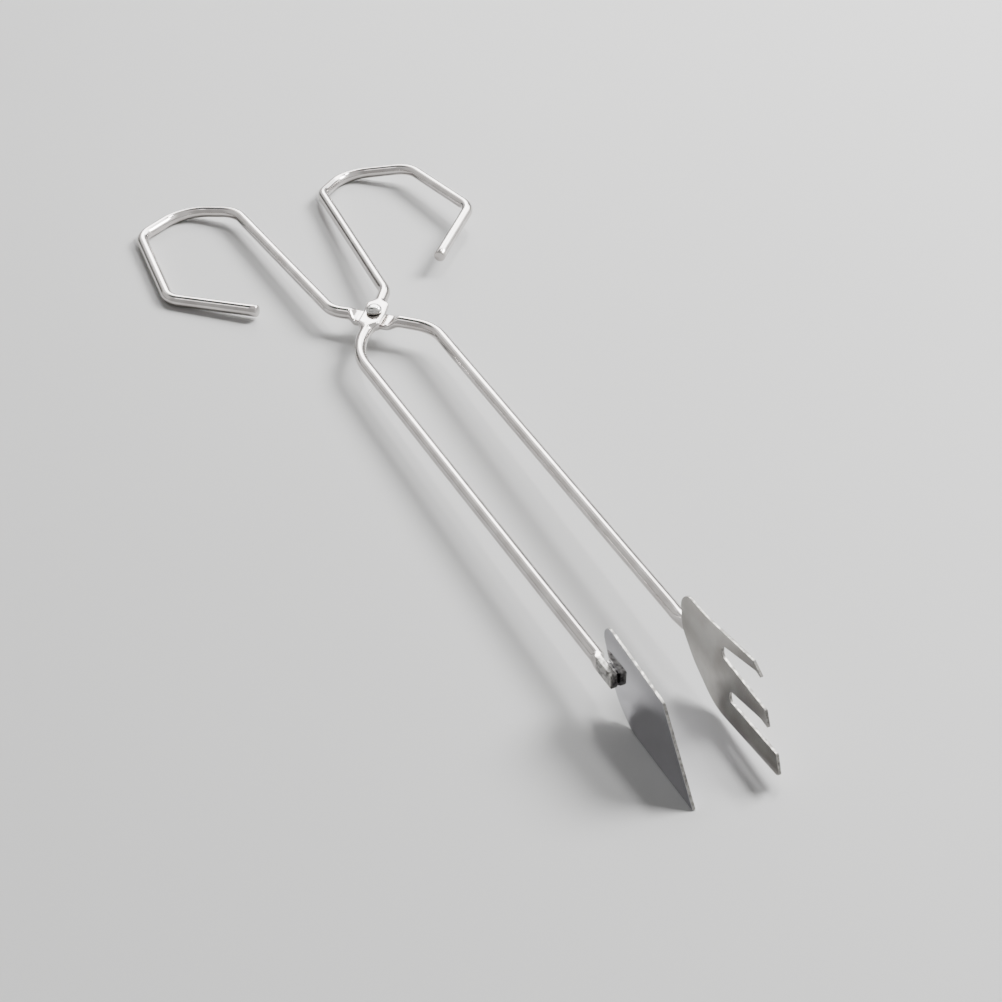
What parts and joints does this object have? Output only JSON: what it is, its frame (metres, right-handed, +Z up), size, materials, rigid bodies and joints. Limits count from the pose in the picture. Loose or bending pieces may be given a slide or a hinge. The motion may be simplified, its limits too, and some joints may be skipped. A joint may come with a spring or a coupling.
{
  "type": "riveted wire tongs",
  "caption": "Scissor-action wire tongs: crossing chromed wire arms on a rivet, hooked finger loops, a flat blade jaw and a forked claw jaw.",
  "frame": {"origin": "on the table under the middle of the part's box, as the tongs rest partly open", "axes": "+Y along the tongs towards the jaws, +Z up from the table, +X the blade jaw's side"},
  "size_m": [0.1116, 0.3188, 0.0268],
  "materials": {
    "arm_wire": "bright chromed steel wire with fine drawing lines",
    "jaw_plate": "bright chromed steel sheet, sheared edges",
    "rivet": "chromed steel rivet, hammered head"
  },
  "bodies": {
    "blade_side": {"blade_arm": "arm_wire", "blade_plate": "jaw_plate", "pivot_rivet": "rivet"},
    "claw_side": {"claw_arm": "arm_wire", "claw_plate": "jaw_plate"}
  },
  "joints": [
    {"name": "scissor_pivot", "type": "hinge", "parent": "blade_side", "child": "claw_side", "pos_m": [0.00142, -0.05718, 0.0072], "axis": [0.0506, -0.0262, 0.9984], "range_deg": [-5.2, 35]}
  ]
}
